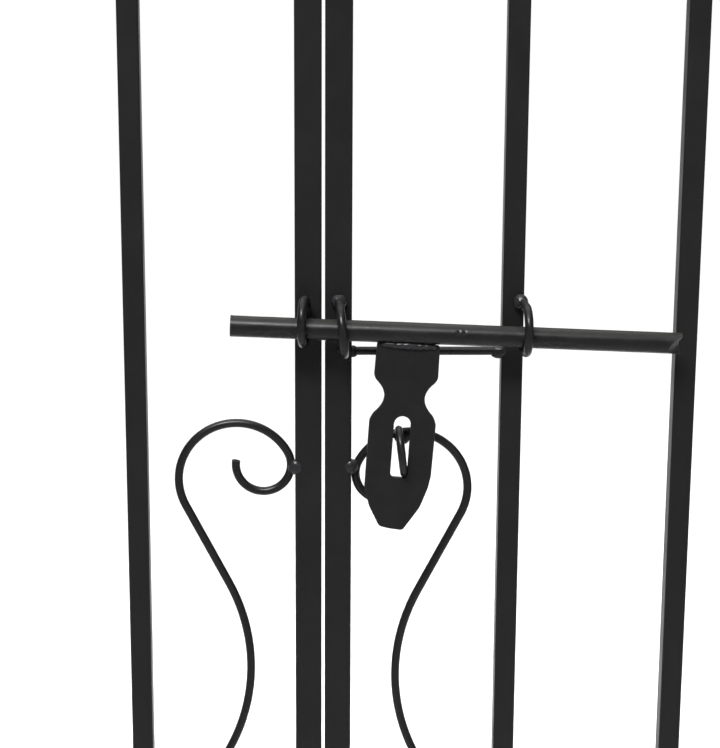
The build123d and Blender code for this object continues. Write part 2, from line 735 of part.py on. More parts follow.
latch_nodes = {"bolt_rod": [bolt_rod], "hasp_plate": [hasp_plate], "hasp_weld": bead_pair}

os.makedirs("parts", exist_ok=True)
for nodes in (arch_nodes, leaf_nodes, latch_nodes):
    for node_name, solids in nodes.items():
        write(node_name, solids)
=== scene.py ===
# %% [markdown]
# # A garden arch with a double gate
# Square steel tube, round wire and a padlock bolt, all dipped in the same satin black powder coat.
# The shapes that carry load come from the engineering model, which stays where it is. This lesson gives
# each of them its finish, and models the parts that a welder's hand made: beads, lumps, a sheared rod
# and push-in caps. Everything is in metres, with +Z up and the front of the gate towards -Y.

# %% Load the engineering model
import bpy
import math
import random
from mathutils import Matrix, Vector, noise


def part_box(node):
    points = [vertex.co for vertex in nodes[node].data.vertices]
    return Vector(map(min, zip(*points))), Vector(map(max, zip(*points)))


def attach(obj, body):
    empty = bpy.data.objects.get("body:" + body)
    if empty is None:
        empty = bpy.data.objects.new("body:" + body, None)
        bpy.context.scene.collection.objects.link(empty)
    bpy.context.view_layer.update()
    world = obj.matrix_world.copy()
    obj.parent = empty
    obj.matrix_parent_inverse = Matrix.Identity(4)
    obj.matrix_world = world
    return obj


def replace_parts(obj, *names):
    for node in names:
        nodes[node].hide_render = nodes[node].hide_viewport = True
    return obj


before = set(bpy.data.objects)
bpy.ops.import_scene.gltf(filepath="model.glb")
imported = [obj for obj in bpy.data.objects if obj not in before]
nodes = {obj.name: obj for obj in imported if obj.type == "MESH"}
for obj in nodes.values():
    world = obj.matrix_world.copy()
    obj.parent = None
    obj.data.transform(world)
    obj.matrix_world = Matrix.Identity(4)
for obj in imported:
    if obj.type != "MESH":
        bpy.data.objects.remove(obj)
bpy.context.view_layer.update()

mm = 0.001

# %% [markdown]
# ## Where the latch is
# The rod, its rings and the plate under it were set out from the middle of the gate. The boxes of their
# nodes give most places. The few that a box can't give, such as the rod's slope, are written once here.

# %% Places on the gate
stile_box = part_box("meeting_stile_right")
bars_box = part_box("infill_bars_right")
gate_y = (stile_box[0].y + stile_box[1].y) / 2
stile_face = stile_box[0].y
plate_half = 30 * mm
post_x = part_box("foot_plates")[1].x - plate_half
rung_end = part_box("side_rungs_right")[1].y
first_bar_x = 105.4 * mm
bar_pitch = 97 * mm
bar_xs = [first_bar_x + i * bar_pitch for i in range(4)]
bar_face = bars_box[0].y
slope = math.radians(2.28)
bolt_y = gate_y - 22.5 * mm
bolt_z0 = 700 * mm
hinge_zs = (190 * mm, 880 * mm)
along = Vector((math.cos(slope), 0, -math.sin(slope)))
upward = Vector((math.sin(slope), 0, math.cos(slope)))
towards = Vector((0, -1, 0))


def on_bolt(x):
    """Point of the rod's axis above x."""
    return Vector((x, bolt_y, bolt_z0 - x * math.tan(slope)))


print("gate plane y:", round(gate_y, 4), "bolt at the middle:", tuple(round(v, 4) for v in on_bolt(0)))

# %% [markdown]
# ## Colour and nodes
# Paint makers give colours as sRGB hex. A shader works in linear light, so one function turns one into the
# other. Another adds a node with its settings and links, which keeps each material short enough to read.

# %% Two helpers for materials
def linear(hex_code):
    """sRGB hex to the linear colour a shader socket takes."""
    channels = [int(hex_code[i:i + 2], 16) / 255 for i in (1, 3, 5)]
    return tuple(c / 12.92 if c <= 0.04045 else ((c + 0.055) / 1.055) ** 2.4 for c in channels) + (1.0,)


def add_node(tree, kind, settings=None, inputs=None):
    """One node, with its properties set and each input given a value or a link."""
    node = tree.nodes.new(kind)
    for key, value in (settings or {}).items():
        setattr(node, key, value)
    for key, value in (inputs or {}).items():
        if isinstance(value, bpy.types.NodeSocket):
            tree.links.new(value, node.inputs[key])
        else:
            node.inputs[key].default_value = value
    return node


print("satin black in linear light:", round(linear("#0f0f0f")[0], 4))

# %% [markdown]
# ## Satin black powder coat
# Polyester powder is sprayed on dry, sticks by static and melts in an oven into one film. It flows almost
# flat but not quite: it leaves an orange peel of shallow dimples 1 to 3 mm across, a sheen that drifts a
# little from place to place, and fine dust that lies on faces that look up. An image texture could supply
# all that, but noise in object space has no seams at the tube corners and keeps its real size on every
# piece. A bright floor mirrored in the faces would wash the black out, so the specular level is set lower
# than a real coat's.

# %% The coat, as one recipe with five strengths
dust_mm = 1.2


def powder_coat(name, dark, light, roughness, peel_mm, peel_height_mm, drift_mm, rub=0.0):
    """Satin paint on steel. peel and drift are the dimples' and the sheen's sizes, rub bares the edges."""
    material = bpy.data.materials.new(name)
    material.use_nodes = True
    tree = material.node_tree
    shader = tree.nodes["Principled BSDF"]
    shader.inputs["IOR"].default_value = 1.5
    shader.inputs["Specular IOR Level"].default_value = 0.11
    place = add_node(tree, "ShaderNodeTexCoord").outputs["Object"]
    drift = add_node(tree, "ShaderNodeTexNoise", inputs={
        "Vector": place, "Scale": 1000 / drift_mm, "Detail": 3.0, "Roughness": 0.6})
    peel = add_node(tree, "ShaderNodeTexNoise", inputs={
        "Vector": place, "Scale": 1000 / peel_mm, "Detail": 2.0, "Roughness": 0.45})
    tone = add_node(tree, "ShaderNodeMix", {"data_type": "RGBA"}, {
        0: drift.outputs["Fac"], 6: linear(dark), 7: linear(light)})
    facing = add_node(tree, "ShaderNodeSeparateXYZ", inputs={
        0: add_node(tree, "ShaderNodeNewGeometry").outputs["Normal"]})
    settled = add_node(tree, "ShaderNodeMapRange", inputs={
        "Value": facing.outputs["Z"], "From Min": 0.55, "From Max": 1.0, "To Min": 0.0, "To Max": 0.05})
    grains = add_node(tree, "ShaderNodeTexNoise", inputs={
        "Vector": place, "Scale": 1000 / dust_mm, "Detail": 4.0})
    dust = add_node(tree, "ShaderNodeMath", {"operation": "MULTIPLY"}, {
        0: settled.outputs["Result"], 1: grains.outputs["Fac"]})
    dusted = add_node(tree, "ShaderNodeMix", {"data_type": "RGBA"}, {
        0: dust.outputs[0], 6: tone.outputs[2], 7: linear("#a39f97")})
    gloss = add_node(tree, "ShaderNodeMapRange", inputs={
        "Value": drift.outputs["Fac"], "From Min": 0.3, "From Max": 0.7,
        "To Min": roughness - 0.06, "To Max": roughness + 0.06})
    bump = add_node(tree, "ShaderNodeBump", inputs={
        "Strength": 0.6, "Distance": peel_height_mm * mm, "Height": peel.outputs["Fac"]})
    colour, rough = dusted.outputs[2], gloss.outputs["Result"]
    if rub:
        rounded = add_node(tree, "ShaderNodeBevel", {"samples": 4}, {"Radius": 0.9 * mm})
        flat = add_node(tree, "ShaderNodeNewGeometry")
        agree = add_node(tree, "ShaderNodeVectorMath", {"operation": "DOT_PRODUCT"}, {
            0: rounded.outputs["Normal"], 1: flat.outputs["Normal"]})
        edge = add_node(tree, "ShaderNodeMapRange", inputs={
            "Value": agree.outputs["Value"], "From Min": 0.97, "From Max": 0.8,
            "To Min": 0.0, "To Max": rub})
        worn = add_node(tree, "ShaderNodeMath", {"operation": "MULTIPLY"}, {
            0: edge.outputs["Result"], 1: peel.outputs["Fac"]})
        steel = add_node(tree, "ShaderNodeMix", {"data_type": "RGBA"}, {
            0: worn.outputs[0], 6: colour, 7: linear("#77756f")})
        colour = steel.outputs[2]
    tree.links.new(colour, shader.inputs["Base Color"])
    tree.links.new(rough, shader.inputs["Roughness"])
    tree.links.new(bump.outputs["Normal"], shader.inputs["Normal"])
    return material


finish = {
    # Straight tube takes the film evenly: a tight, low peel and a calm satin sheen.
    "powder_coat_tube": powder_coat(
        "powder_coat_tube", "#090909", "#0f0f0f", 0.40, 2.4, 0.05, 45),
    # Thin wire heats fast, so the film flows more and shines a little more.
    "powder_coat_wire": powder_coat(
        "powder_coat_wire", "#0a0a0b", "#101011", 0.31, 1.8, 0.05, 18),
    # The rod and plate got a thick, uneven coat that sagged before it set.
    "powder_coat_latch": powder_coat(
        "powder_coat_latch", "#090909", "#101010", 0.34, 2.8, 0.09, 14, rub=0.25),
    # Over weld metal the film pools between ripples and looks wetter. Its lighter tone is painted highlight:
    # the same coat made paler to stand in for the light that catches the weld tops.
    "powder_coat_weld": powder_coat(
        "powder_coat_weld", "#101011", "#1c1c1e", 0.27, 1.1, 0.10, 5),
    # Hinge eyes grind on their pins, so their edges are the first to show steel.
    "powder_coat_hinge": powder_coat(
        "powder_coat_hinge", "#0e0e0e", "#161616", 0.38, 2.0, 0.06, 16, rub=0.7),
}
print("coats:", len(finish))

# %% [markdown]
# ## The other finishes
# The stile caps are moulded polyethylene: a waxy, rougher black than the paint, with fine spark texture
# from the mould. The bolts and domed nuts are steel with a black zinc film, a metal that still shows its
# shine through a thin dark layer. The spigots inside the tubes are plain drawn steel.

# %% Plastic, black zinc and bare steel
def moulded_plastic(name):
    """Black polyethylene with a fine spark texture, 0.5 mm grain drawn at 0.8 mm so that it shows."""
    material = bpy.data.materials.new(name)
    material.use_nodes = True
    tree = material.node_tree
    shader = tree.nodes["Principled BSDF"]
    shader.inputs["IOR"].default_value = 1.51
    place = add_node(tree, "ShaderNodeTexCoord").outputs["Object"]
    grain = add_node(tree, "ShaderNodeTexNoise", inputs={
        "Vector": place, "Scale": 1000 / 0.8, "Detail": 3.0})
    tone = add_node(tree, "ShaderNodeMix", {"data_type": "RGBA"}, {
        0: grain.outputs["Fac"], 6: linear("#1b1b1b"), 7: linear("#262626")})
    rough = add_node(tree, "ShaderNodeMapRange", inputs={
        "Value": grain.outputs["Fac"], "To Min": 0.48, "To Max": 0.66})
    bump = add_node(tree, "ShaderNodeBump", inputs={
        "Strength": 0.5, "Distance": 0.04 * mm, "Height": grain.outputs["Fac"]})
    tree.links.new(tone.outputs[2], shader.inputs["Base Color"])
    tree.links.new(rough.outputs["Result"], shader.inputs["Roughness"])
    tree.links.new(bump.outputs["Normal"], shader.inputs["Normal"])
    return material


def rolled_metal(name, dark, light, low, high, grain_mm):
    """Plated or bare steel: brushed-out colour, and roughness that follows faint drawing marks."""
    material = bpy.data.materials.new(name)
    material.use_nodes = True
    tree = material.node_tree
    shader = tree.nodes["Principled BSDF"]
    shader.inputs["Metallic"].default_value = 1.0
    place = add_node(tree, "ShaderNodeTexCoord").outputs["Object"]
    marks = add_node(tree, "ShaderNodeTexNoise", inputs={
        "Vector": place, "Scale": 1000 / grain_mm, "Detail": 4.0, "Distortion": 0.4})
    tone = add_node(tree, "ShaderNodeMix", {"data_type": "RGBA"}, {
        0: marks.outputs["Fac"], 6: linear(dark), 7: linear(light)})
    rough = add_node(tree, "ShaderNodeMapRange", inputs={
        "Value": marks.outputs["Fac"], "To Min": low, "To Max": high})
    tree.links.new(tone.outputs[2], shader.inputs["Base Color"])
    tree.links.new(rough.outputs["Result"], shader.inputs["Roughness"])
    return material


finish["cap_plastic"] = moulded_plastic("cap_plastic")
# Black zinc: a chromate film darkens the plating but leaves a metal's reflection.
finish["fastener_zinc_black"] = rolled_metal("fastener_zinc_black", "#3a3a3c", "#55555a", 0.26, 0.44, 1.5)
# Drawn steel out of sight in the tubes: grey, with faint scale.
finish["bare_steel"] = rolled_metal("bare_steel", "#6d6b68", "#8d8b88", 0.35, 0.55, 3.0)

for node in nodes.values():
    for holder in node.material_slots:
        holder.material = finish[holder.material.name.split(".")[0]]
print("finishes:", sorted(finish))

# %% [markdown]
# ## Weld beads between tubes
# A welder runs a wire-fed bead round each end of a tube. It leaves a fillet about 3 mm wide with ripples,
# one for each pulse, and a width that wanders. It could be a bump on the tube, but the fillet changes the
# outline of the corner, so it is a real strip of mesh: rings of vertices along a path, each ring a little
# wider or narrower than the last. All the beads of one body go into one object.

# %% A strip of weld along a path
class Beads:
    """Collects weld beads and makes one object of them."""

    def __init__(self, name, body, seed):
        self.name, self.body = name, body
        self.random = random.Random(seed)
        self.verts, self.faces, self.count = [], [], 0

    def run(self, path, radius, closed=True, around=8):
        """A bead along the path, with a ripple for each pulse."""
        count = len(path)
        first = len(self.verts)
        phase = self.random.uniform(0, 6.28)  # a whole turn, so no two beads ripple alike
        for i, point in enumerate(path):
            ahead = path[(i + 1) % count] if closed or i < count - 1 else point
            behind = path[i - 1] if closed or i > 0 else point
            direction = (ahead - behind).normalized()
            side = direction.cross(Vector((0.31, 0.52, 0.79))).normalized()
            other = direction.cross(side)
            ripple = 1 + 0.10 * math.sin(phase + i * 2.1) + self.random.uniform(-0.08, 0.08)
            if not closed:
                ripple *= math.sin(math.pi * (i + 0.6) / (count + 0.2)) ** 0.4
            for k in range(around):
                turn = 2 * math.pi * k / around
                self.verts.append(point + (side * math.cos(turn) + other * math.sin(turn)) * radius * ripple)
        rings = count if closed else count - 1
        for i in range(rings):
            a, b = first + i * around, first + ((i + 1) % count) * around
            for k in range(around):
                n = (k + 1) % around
                self.faces.append((a + k, a + n, b + n, b + k))
        if not closed:
            self.faces.append(tuple(first + k for k in reversed(range(around))))
            self.faces.append(tuple(first + (count - 1) * around + k for k in range(around)))
        self.count += 1

    def loop(self, centre, across, up, half_across, half_up, radius, bend=None):
        """A bead round a square tube's end, whose section lies along across and up."""
        corner = min(half_across, half_up) * 0.2
        path = []
        for quarter in range(4):
            sx, sy = ((1, 1), (-1, 1), (-1, -1), (1, -1))[quarter]
            middle = Vector((sx * (half_across - corner), sy * (half_up - corner)))
            for step in range(3):
                turn = math.radians(quarter * 90 + step * 45)
                path.append(middle + Vector((math.cos(turn), math.sin(turn))) * corner)
        spaced = []
        for i, start in enumerate(path):
            end = path[(i + 1) % len(path)]
            parts = max(1, int((end - start).length / (1.3 * mm)))
            spaced += [start.lerp(end, j / parts) for j in range(parts)]
        points = [centre + across * p.x + up * p.y for p in spaced]
        self.run([bend(p) for p in points] if bend else points, radius)

    def make(self):
        """The object, riding on its body."""
        mesh = bpy.data.meshes.new(self.name)
        mesh.from_pydata(self.verts, [], self.faces)
        mesh.shade_smooth()
        mesh.materials.append(finish["powder_coat_weld"])
        piece = bpy.data.objects.new(self.name, mesh)
        bpy.context.scene.collection.objects.link(piece)
        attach(piece, self.body)
        print(self.name, "beads:", self.count, "points:", len(self.verts))
        return piece


X, Y, Z = Vector((1, 0, 0)), Vector((0, 1, 0)), Vector((0, 0, 1))
print("bead helper ready")

# %% [markdown]
# ## Beads of the arch
# Each cross rung is welded round both ends, and each post round its foot. The upright rods are only tacked:
# two short runs where a rod crosses a rung. The hinge pins go into the posts with a round bead.

# %% Arch beads
hoop_r = post_x
post_half = 10 * mm
spring_z = 2350 * mm - post_half - hoop_r
rung_pitch = 240
rung_zs = [(100 + rung_pitch * i) * mm for i in range(8)]
roof_step = 22.5
roof_angles = [math.radians(roof_step / 2 + roof_step * i) for i in range(4)]
bar_half = 6.2 * mm
rod_reach = 6.9 * mm
tack_step = 1.3 * mm


def tack(at, way):
    """A short run of weld, seven pulses long, through a point."""
    arch_beads.run([at + way * (t * tack_step) for t in range(-3, 4)], 1.3 * mm, False)


arch_beads = Beads("weld_beads_arch", "arch", 11)
for side in (-1, 1):
    for end in (-1, 1):
        y = end * rung_end
        for z in rung_zs:
            arch_beads.loop(Vector((side * post_x, y, z)), X, Z, bar_half, bar_half, 1.5 * mm)
        for angle in roof_angles:
            out = Vector((side * math.cos(angle), 0, math.sin(angle)))
            middle = Vector((0, y, spring_z)) + out * hoop_r
            arch_beads.loop(middle, out, out.cross(Y), bar_half, bar_half, 1.5 * mm)
        foot = Vector((side * post_x, end * 215 * mm, 3.2 * mm))
        arch_beads.loop(foot, X, Y, 10.3 * mm, 10.3 * mm, 1.9 * mm)
    for rod_y in (-70 * mm, 70 * mm):
        for flank in (-2.4 * mm, 2.4 * mm):
            for z in rung_zs:
                tack(Vector((side * (post_x + rod_reach), rod_y + flank, z)), Z)
            for angle in roof_angles:
                out = Vector((side * math.cos(angle), 0, math.sin(angle)))
                tack(Vector((0, rod_y + flank, spring_z)) + out * (hoop_r + rod_reach), out.cross(Y))
    for pin_z in hinge_zs:
        centre = Vector((side * (post_x - 10.2 * mm), gate_y, pin_z))
        turns = [math.radians(15) * t for t in range(24)]
        arch_beads.run([centre + (Y * math.cos(a) + Z * math.sin(a)) * 5.2 * mm for a in turns], 1.5 * mm)
arch_beads.make()

# %% [markdown]
# ## Beads of the leaves
# Both rails are welded between the stiles, and each bar between the rails. The top rail is curved, so the
# bead round a bar's top follows its underside: a small function drops each point onto the curve.

# %% Leaf beads
rail_r = 900 * mm
rail_centre_z = 210 * mm
stile_half = 7.5 * mm


def under_rail(point):
    """The point moved up or down onto the top rail's underside."""
    inner_r = rail_r - stile_half
    return Vector((point.x, point.y, rail_centre_z + math.sqrt(inner_r ** 2 - point.x ** 2)))


for side, body in ((-1, "left_leaf"), (1, "right_leaf")):
    beads = Beads("weld_beads_" + body, body, 23 + side)
    for x in bar_xs:
        foot = Vector((side * x, gate_y, 75.2 * mm))
        beads.loop(foot, X, Y, bar_half, bar_half, 1.4 * mm)
        beads.loop(foot, X, Y, bar_half, bar_half, 1.4 * mm, bend=under_rail)
    for x in (15.9 * mm, 485.9 * mm):
        beads.loop(Vector((side * x, gate_y, 67.5 * mm)), Y, Z, stile_half, stile_half, 1.0 * mm)
        rail_z = rail_centre_z + math.sqrt(rail_r ** 2 - x ** 2)
        lean = rail_r / math.sqrt(rail_r ** 2 - x ** 2)
        beads.loop(Vector((side * x, gate_y, rail_z)), Y, Z, stile_half, stile_half * lean, 1.0 * mm)
    for pin_z in hinge_zs:
        lug = Vector((side * 501.0 * mm, gate_y, pin_z + 20.5 * mm))
        beads.loop(lug, Y, Z, 3.2 * mm, 15.0 * mm, 1.2 * mm)
    beads.make()

# %% [markdown]
# ## Lumps of weld at the latch
# The rings and scrolls were stuck on with a single touch of the torch, so each joint is a lump. A ball
# with noise would be too even, so a lump is a few balls of metal pooled together: the height of each
# point is the largest of several round hills, with a little noise on top. One point closes each pole.

# %% A pooled lump
lump_rows, lump_columns = 20, 32


def lump(name, centre, radii, body, seed, replaced=None):
    """Pooled weld metal round a centre. radii are its half sizes, and seed sets its hills."""
    rng = random.Random(seed)
    hills = [Vector([rng.uniform(-1, 1) for _ in range(3)]).normalized() for _ in range(4)]

    def skin_point(lift, turn):
        """Point of the skin at a height angle and a turn."""
        out = Vector((math.cos(lift) * math.cos(turn), math.cos(lift) * math.sin(turn), math.sin(lift)))
        swell = max(out.dot(h) for h in hills)
        size = 0.84 + 0.14 * max(swell, 0) ** 2 + 0.05 * noise.noise(out * 2.3 + Vector((seed, 0, 0)))
        return Vector(centre) + Vector(o * r for o, r in zip(out, radii)) * size

    verts = [skin_point(-math.pi / 2, 0)]
    for i in range(1, lump_rows):
        for k in range(lump_columns):
            verts.append(skin_point(math.pi * (i / lump_rows - 0.5), 2 * math.pi * k / lump_columns))
    verts.append(skin_point(math.pi / 2, 0))
    top, last = len(verts) - 1, len(verts) - 1 - lump_columns
    faces = []
    for k in range(lump_columns):
        n = (k + 1) % lump_columns
        faces.append((0, 1 + n, 1 + k))
        for a in range(1, last, lump_columns):
            b = a + lump_columns
            faces.append((a + k, a + n, b + n, b + k))
        faces.append((last + k, last + n, top))
    mesh = bpy.data.meshes.new(name)
    mesh.from_pydata(verts, [], faces)
    mesh.shade_smooth()
    mesh.materials.append(finish["powder_coat_weld"])
    piece = bpy.data.objects.new(name, mesh)
    bpy.context.scene.collection.objects.link(piece)
    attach(piece, body)
    if replaced:
        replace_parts(piece, replaced)


# %% [markdown]
# Each ring has a large lump where its wire was stuck on and a small one at its free end. The scrolls touch
# the stiles at two places each, and the brace wire has one lump at each end.

# %% Lumps of the latch
keeper_at = sum(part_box("keeper_weld"), Vector()) / 2
lump("keeper_weld_lump", keeper_at, (3.6 * mm, 2.7 * mm, 3.8 * mm), "left_leaf", 3, "keeper_weld")
staple_at = sum(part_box("staple_weld"), Vector()) / 2
staple_at = staple_at + Vector((0.5, -1.2, -0.2)) * mm
lump("staple_weld_lump", staple_at, (5.5 * mm, 4.6 * mm, 5.2 * mm), "right_leaf", 7, "staple_weld")
stile_guide = on_bolt(9.6 * mm)
bar_guide_r = 15.0 * mm
bar_guide_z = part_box("guide_bar")[0].z + bar_guide_r
lumps = [
    ("guide_stile_weld_top", (8.8 * mm, stile_face - 1.4 * mm, stile_guide.z + 13.6 * mm), (4.9, 4.2, 4.4)),
    ("guide_stile_weld_foot", (10.7 * mm, stile_face, stile_guide.z - 13.8 * mm), (3.6, 2.6, 3.0)),
    ("guide_bar_weld_top", (109.2 * mm, bar_face - 1.6 * mm, bar_guide_z + 12.4 * mm), (4.6, 4.4, 4.8)),
    ("guide_bar_weld_foot", (109.9 * mm, bar_face, bar_guide_z - 12.8 * mm), (3.6, 2.6, 3.0)),
]
for seed, (name, centre, radii) in enumerate(lumps):
    lump(name, centre, [r * mm for r in radii], "right_leaf", 31 + seed, "guide_welds")
# The welder's hand wandered: the upper weld is a little low on the left and a little high on the right.
for side, word, wander in ((-1, "left", -1.4 * mm), (1, "right", 3.4 * mm)):
    low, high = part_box("scroll_welds_" + word)
    for seed, (end, z) in enumerate((("_foot", low.z + 3.5 * mm), ("_top", high.z - 3.5 * mm + wander))):
        centre = (side * 15.6 * mm, gate_y - 5.4 * mm, z)
        radii = (4.8 * mm, 3.6 * mm, 4.9 * mm)
        name = "scroll_weld_" + word + end
        lump(name, centre, radii, word + "_leaf", 51 + seed + side, "scroll_welds_" + word)
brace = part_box("brace_wire")
brace_z = (brace[0].z + brace[1].z) / 2
brace_y = (brace[0].y + brace[1].y) / 2
stile_end = (16.6 * mm, brace_y, brace_z - 0.4 * mm)
bar_end = (98.2 * mm, brace_y, brace_z - 0.6 * mm)
lump("brace_weld_stile", stile_end, (3.4 * mm, 3.4 * mm, 3.6 * mm), "right_leaf", 61)
lump("brace_weld_bar", bar_end, (5.6 * mm, 3.6 * mm, 3.9 * mm), "right_leaf", 62)
print("latch lumps made")

# %% [markdown]
# ## The staple
# A loop of thinner wire stands on the scroll and comes forward through the slot. It was closed by hand, so
# it is taller than wide and leans a little. A ring of circles round an oval gives it, with a wire that
# thickens slightly where the paint gathered.

# %% Leaning staple
staple_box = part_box("staple_ring")
staple_centre = (staple_box[0] + staple_box[1]) / 2 + Vector((-0.9, 0, -3.6)) * mm
staple_tall, staple_deep = 12.4 * mm, 11.0 * mm
staple_turns, staple_round = 72, 16
staple_lean = math.radians(7)
lean_axis = Vector((-math.sin(staple_lean), 0, math.cos(staple_lean)))
side_way = lean_axis.cross(towards)
staple_verts, staple_faces = [], []
for i in range(staple_turns):
    a = 2 * math.pi * i / staple_turns
    outward = lean_axis * math.cos(a) + towards * math.sin(a)
    middle = staple_centre + lean_axis * math.cos(a) * staple_tall + towards * math.sin(a) * staple_deep
    thick = (2.15 + 0.10 * noise.noise(outward * 3.0)) * mm
    for k in range(staple_round):
        b = 2 * math.pi * k / staple_round
        staple_verts.append(middle + (outward * math.cos(b) + side_way * math.sin(b)) * thick)
for i in range(staple_turns):
    a, b = i * staple_round, ((i + 1) % staple_turns) * staple_round
    for k in range(staple_round):
        n = (k + 1) % staple_round
        staple_faces.append((a + k, b + k, b + n, a + n))
staple_mesh = bpy.data.meshes.new("staple_loop")
staple_mesh.from_pydata(staple_verts, [], staple_faces)
staple_mesh.shade_smooth()
staple_mesh.materials.append(finish["powder_coat_wire"])
staple_loop = bpy.data.objects.new("staple_loop", staple_mesh)
bpy.context.scene.collection.objects.link(staple_loop)
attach(staple_loop, "right_leaf")
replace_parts(staple_loop, "staple_ring")
print("staple stands", round((staple_centre.z + staple_tall) * 1000), "mm above the ground")

# %% [markdown]
# ## The bolt
# The rod was cropped from bar: one end square with a small burr, the other sheared, which leaves a slanted
# facet and a lip that the blade pushed down. The coat sagged and wrinkled on its front before it set. A
# plain cylinder shows none of that, so the rod is made of rings along its axis, and noise moves the skin.

# %% Rod with sagged paint and a sheared end
rod_r = 5.75 * mm
rod_start = on_bolt(-50.9 * mm)
rod_length = 246.8 * mm / math.cos(slope)
rod_columns = 56
rod_rows = 480
nick_s = 126.0 * mm
# Where the coat folded, as the middle and half length of each stretch.
folds = ((27 * mm, 24 * mm), (178 * mm, 18 * mm), (98 * mm, 14 * mm))


def skin(s, turn):
    """The rod's radius at a length s and an angle from the top, positive to the front."""
    at = Vector((s * 1000 / 9, math.cos(turn) * 0.9, math.sin(turn) * 0.9))
    size = rod_r + 0.10 * mm + 0.06 * mm * noise.noise(at)
    for middle, reach in folds:
        near = max(0, 1 - (abs(s - middle) / reach) ** 2)
        drop = math.radians(112 + 9 * noise.noise(Vector((s * 1000 / 5, 7.0, middle * 90))))
        fold = math.exp(-((turn - drop) / 0.2) ** 2)
        crease = 0.4 + 1.2 * noise.noise(Vector((s * 1000 / 2.2, turn * 3, 4.0)))
        size -= 0.75 * mm * near * fold * crease
    for offset in (-1.6 * mm, 1.6 * mm):
        slanted = s - nick_s - offset + (turn - 1.3) * 1.2 * mm
        size -= 0.5 * mm * math.exp(-(slanted / (0.7 * mm)) ** 2 - ((turn - 1.3) / 0.3) ** 2)
    if s < 1.4 * mm and abs(turn) < 0.8:
        size += 0.25 * mm * (1 - s / (1.4 * mm))
    lip = max(0, 1 - (rod_length - s) / (4 * mm)) * max(-math.cos(turn + 0.5), 0)
    return size + 0.35 * mm * lip


rod_verts, rod_faces = [], []
for i in range(rod_rows + 1):
    for k in range(rod_columns):
        turn = 2 * math.pi * k / rod_columns
        turn -= 2 * math.pi if turn > math.pi else 0
        cut = rod_length - 7.5 * mm * max(0, math.cos(turn - math.radians(118)) - 0.25) / 0.75
        s = i / rod_rows * rod_length
        tail = rod_length - 12 * mm
        if s > tail:
            s = tail + (s - tail) / (12 * mm) * (cut - tail)
        out = upward * math.cos(turn) + towards * math.sin(turn)
        rod_verts.append(rod_start + along * s + out * skin(s, turn))
end_rings = ((0, -0.25, 0.93), (0, -0.32, 0.5), (rod_rows, 0.22, 0.94), (rod_rows, 0.30, 0.5))
for ring, depth, share in end_rings:
    first = ring * rod_columns
    centre = sum(rod_verts[first:first + rod_columns], Vector()) / rod_columns
    for point in rod_verts[first:first + rod_columns]:
        rod_verts.append(centre + (point - centre) * share + along * depth * mm * 0.5)
for i in range(rod_rows):
    for k in range(rod_columns):
        n = (k + 1) % rod_columns
        a, b = i * rod_columns, (i + 1) * rod_columns
        rod_faces.append((a + k, b + k, b + n, a + n))
ends = (rod_rows + 1) * rod_columns
for a, b, flip in ((0, ends, False), (ends, ends + rod_columns, False),
                   (rod_rows * rod_columns, ends + 2 * rod_columns, True),
                   (ends + 2 * rod_columns, ends + 3 * rod_columns, True)):
    for k in range(rod_columns):
        n = (k + 1) % rod_columns
        face = (a + k, a + n, b + n, b + k)
        rod_faces.append(tuple(reversed(face)) if flip else face)
rod_faces.append(tuple(ends + rod_columns + k for k in range(rod_columns)))
rod_faces.append(tuple(ends + 3 * rod_columns + k for k in reversed(range(rod_columns))))
rod_mesh = bpy.data.meshes.new("bolt_bar")
rod_mesh.from_pydata(rod_verts, [], rod_faces)
rod_mesh.shade_smooth()
rod_mesh.set_sharp_from_angle(angle=math.radians(50))
rod_mesh.materials.append(finish["powder_coat_latch"])
bolt_bar = bpy.data.objects.new("bolt_bar", rod_mesh)
bpy.context.scene.collection.objects.link(bolt_bar)
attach(bolt_bar, "bolt")
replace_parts(bolt_bar, "bolt_rod")
print("rod:", round(rod_length * 1000, 1), "mm,", len(rod_verts), "points")

# %% [markdown]
# ## The hasp
# A 3 mm plate was cut to a keyhole shape and slotted for the staple. Its edges are dulled by the coat, so
# they catch a thin line of light. A flat filled curve with a bevel gives rounded edges outside and inside
# the slot in one go, and is then turned into a mesh.

# %% Plate with dulled edges
hasp_lean = slope + math.radians(1.5)
hasp_along = Vector((math.cos(hasp_lean), 0, -math.sin(hasp_lean)))
hasp_down = Vector((-math.sin(hasp_lean), 0, -math.cos(hasp_lean)))
hasp_at = on_bolt(47.1 * mm)


def arc(start, middle, end, steps=10):
    """Points of a curve through three points, by a quadratic that passes the middle one."""
    start, middle, end = Vector(start), Vector(middle), Vector(end)
    pull = middle * 2 - (start + end) / 2
    ts = [i / steps for i in range(steps + 1)]
    return [start * (1 - t) ** 2 + pull * 2 * t * (1 - t) + end * t * t for t in ts]


def softened(points, reach):
    """The outline with each corner rounded, starting reach before it and ending reach after it."""
    made = []
    for i, p in enumerate(points):
        before, after = points[i - 1] - p, points[(i + 1) % len(points)] - p
        room = min(reach, before.length * 0.45, after.length * 0.45)
        start, end = p + before.normalized() * room, p + after.normalized() * room
        for t in (0.0, 0.25, 0.5, 0.75, 1.0):
            made.append(start * (1 - t) ** 2 + p * 2 * t * (1 - t) + end * t * t)
    return made


